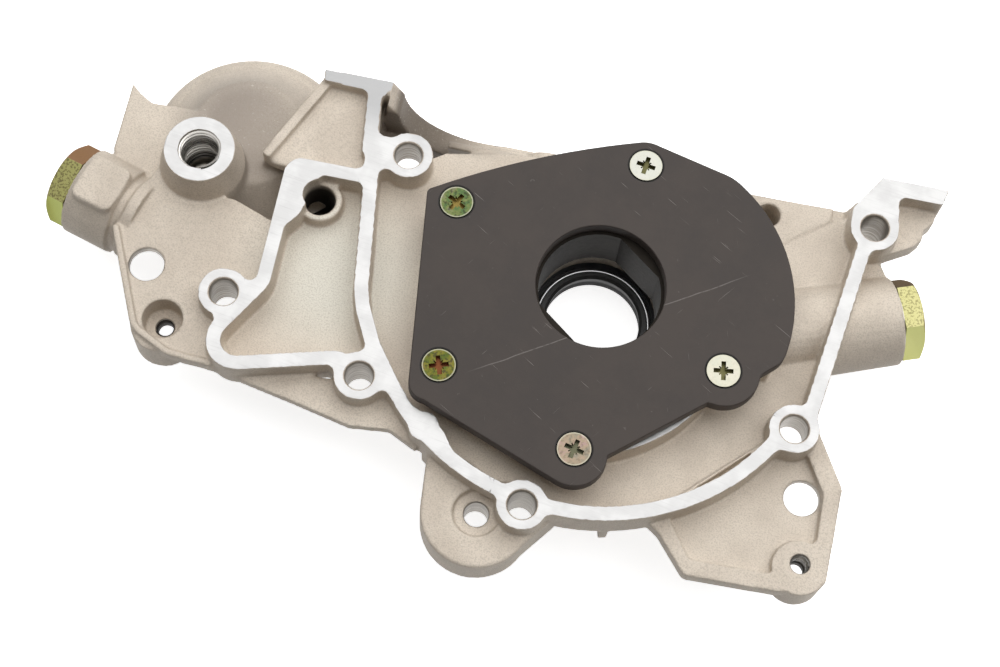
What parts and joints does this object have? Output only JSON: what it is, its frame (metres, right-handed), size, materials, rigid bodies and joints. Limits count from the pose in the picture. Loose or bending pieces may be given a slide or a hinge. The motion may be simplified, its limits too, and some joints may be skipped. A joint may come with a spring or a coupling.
{
  "type": "engine oil pump",
  "caption": "Crank-driven crescent-gear engine oil pump: die-cast housing with gasket rail, dark cover plate, relief valve, spin-on filter seat and crank seal.",
  "frame": {"origin": "on the crankshaft axis, in the plane of the block gasket face", "axes": "+Z along the crank axis towards the engine block, +Y towards the oil pan, +X along the pan edge away from the oil filter"},
  "size_m": [0.2991, 0.1705, 0.0525],
  "materials": {
    "cast_aluminium": "sand-textured die casting with machined faces",
    "phosphated_steel": "dark phosphate coating",
    "gear_steel": "hardened and ground, oil-darkened",
    "seal_steel": "pressed sheet",
    "seal_rubber": "black oil-resistant rubber",
    "spring_steel": "drawn wire",
    "zinc_plug": "yellow iridescent zinc plating",
    "zinc_screw": "yellow iridescent zinc plating",
    "washer_aluminium": "soft annealed ring",
    "valve_steel": "ground",
    "nipple_steel": "zinc-plated"
  },
  "bodies": {
    "housing": {"pump_housing": "cast_aluminium", "cover_plate": "phosphated_steel", "cover_screw_1": "zinc_screw", "cover_screw_2": "zinc_screw", "cover_screw_3": "zinc_screw", "cover_screw_4": "zinc_screw", "cover_screw_5": "zinc_screw", "seal_case": "seal_steel", "seal_lip": "seal_rubber", "seal_garter_spring": "spring_steel", "relief_plug": "zinc_plug", "relief_plug_washer": "washer_aluminium", "relief_spring": "spring_steel", "gallery_plug": "zinc_plug", "gallery_plug_washer": "washer_aluminium", "filter_nipple": "nipple_steel", "bypass_seat": "valve_steel", "bypass_spring": "spring_steel"},
    "pinion": {"inner_gear": "gear_steel"},
    "ring": {"outer_gear": "gear_steel"},
    "relief_piston": {"relief_piston": "valve_steel"},
    "bypass_disc": {"bypass_disc": "valve_steel"}
  },
  "joints": [
    {"name": "crank_turn", "type": "hinge", "parent": "housing", "child": "pinion", "pos_m": [0, 0, 0], "axis": [0, 0, 1], "continuous": true},
    {"name": "ring_turn", "type": "hinge", "parent": "housing", "child": "ring", "pos_m": [-0.00575, -0.00482, 0], "axis": [0, 0, 1], "continuous": true},
    {"name": "relief_lift", "type": "slide", "parent": "housing", "child": "relief_piston", "axis": [0.9397, 0.342, 0], "range_m": [0, 0.006], "stiffness_N_per_m": 2000, "springref_m": -0.012, "deforming": ["relief_spring"]},
    {"name": "bypass_lift", "type": "slide", "parent": "housing", "child": "bypass_disc", "axis": [0, 0, 1], "range_m": [0, 0.003], "stiffness_N_per_m": 200, "springref_m": -0.004, "deforming": ["bypass_spring"]}
  ],
  "couplings": [
    {"joint": "ring_turn", "follows": "crank_turn", "ratio": 0.7931}
  ]
}
